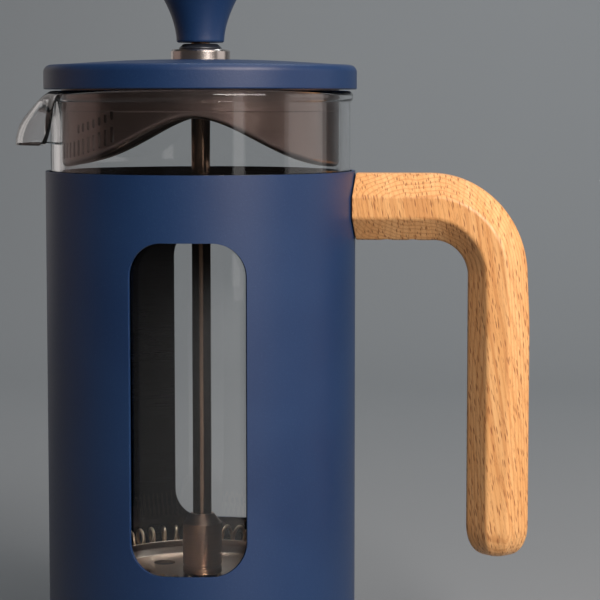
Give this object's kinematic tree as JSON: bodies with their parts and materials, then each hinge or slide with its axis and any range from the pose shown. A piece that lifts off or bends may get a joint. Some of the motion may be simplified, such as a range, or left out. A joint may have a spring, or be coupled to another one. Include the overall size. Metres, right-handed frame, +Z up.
{
  "type": "french press",
  "caption": "Small coffee press: glass beaker in a painted steel sleeve with windows, wooden side handle, lid with strainer skirt, and plunger with a coil-edged filter.",
  "frame": {"origin": "on the sleeve's axis, at the underside of the foot pad, where the press rests on a table", "axes": "+Z up along the plunger rod, +X towards the wooden handle, -X towards the pouring lip, windows towards -Y and +Y"},
  "size_m": [0.1201, 0.0726, 0.1644],
  "materials": {
    "sleeve_paint": "satin powder coat, deep navy",
    "lid_plastic": "satin, deep navy to match the sleeve",
    "bright_steel": "brushed stainless",
    "skirt_steel": "pressed stainless, satin",
    "rod_steel": "polished stainless",
    "beech": "oiled beech, light orange brown with short dark flecks",
    "clear_glass": "clear borosilicate, polished",
    "dark_rubber": "matt black silicone",
    "black_plastic": "dark moulded nylon",
    "yellow_brass": "turned brass"
  },
  "bodies": {
    "housing": {"housing_sleeve": "sleeve_paint", "base_plate": "bright_steel", "base_pad": "dark_rubber", "beaker_cushion": "dark_rubber", "handle": "beech", "handle_gasket": "dark_rubber", "handle_bracket": "bright_steel", "handle_screw_inner": "bright_steel", "handle_screw_outer": "bright_steel"},
    "beaker": {"glass_beaker": "clear_glass"},
    "lid_hub": {"lid_ferrule": "bright_steel", "guide_bush": "black_plastic", "lid_retaining_nut": "bright_steel"},
    "lid": {"lid_cover": "lid_plastic", "lid_skirt": "skirt_steel"},
    "plunger": {"plunger_rod": "rod_steel", "knob": "lid_plastic", "knob_insert": "yellow_brass", "filter_hub": "rod_steel", "spring_plate": "bright_steel", "coil_spring": "bright_steel", "mesh_screen": "bright_steel", "cross_plate": "bright_steel", "filter_stud": "bright_steel"}
  },
  "joints": [
    {"name": "beaker_lift", "type": "slide", "parent": "housing", "child": "beaker", "axis": [0, 0, 1], "range_m": [0, 0.115]},
    {"name": "lid_lift", "type": "slide", "parent": "beaker", "child": "lid_hub", "axis": [0, 0, 1], "range_m": [0, 0.12]},
    {"name": "lid_turn", "type": "hinge", "parent": "lid_hub", "child": "lid", "pos_m": [0, 0, 0.1343], "axis": [0, 0, 1], "continuous": true},
    {"name": "plunger_press", "type": "slide", "parent": "lid_hub", "child": "plunger", "axis": [0, 0, 1], "range_m": [0, 0.088]}
  ]
}
